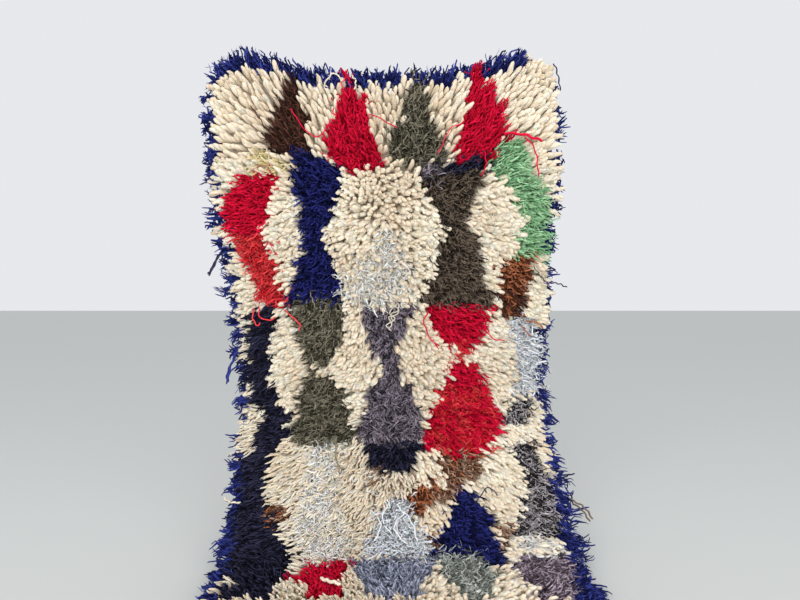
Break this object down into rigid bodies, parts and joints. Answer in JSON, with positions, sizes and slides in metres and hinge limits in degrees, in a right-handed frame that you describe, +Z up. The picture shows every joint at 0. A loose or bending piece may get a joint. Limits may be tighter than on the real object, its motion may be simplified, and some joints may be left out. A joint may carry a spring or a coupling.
{
  "type": "boucherouite rug",
  "caption": "Shaggy knotted rug hung by its top edge, its foot sweeping forward onto the floor, with locks of yarn along its rim.",
  "frame": {"origin": "middle of the rug's top edge, at the back of its ground cloth, where the edge sags lowest between its two held corners", "axes": "+Z up, +X to the right as seen from the pile side, -Y the way the pile faces"},
  "size_m": [0.9796, 0.7079, 1.2691],
  "materials": {
    "ivory_pile": "plump matt wool pile, with motifs in dyed yarns",
    "blue_locks": "matt dyed yarn, frayed"
  },
  "bodies": {
    "root": {"rug_slab": "ivory_pile", "rim_locks_top": "blue_locks", "rim_locks_bottom": "blue_locks", "rim_locks_left_upper": "blue_locks", "rim_locks_left_lower": "blue_locks", "rim_locks_left_floor": "blue_locks", "rim_locks_right_upper": "blue_locks", "rim_locks_right_lower": "blue_locks", "rim_locks_right_floor": "blue_locks"}
  },
  "joints": []
}
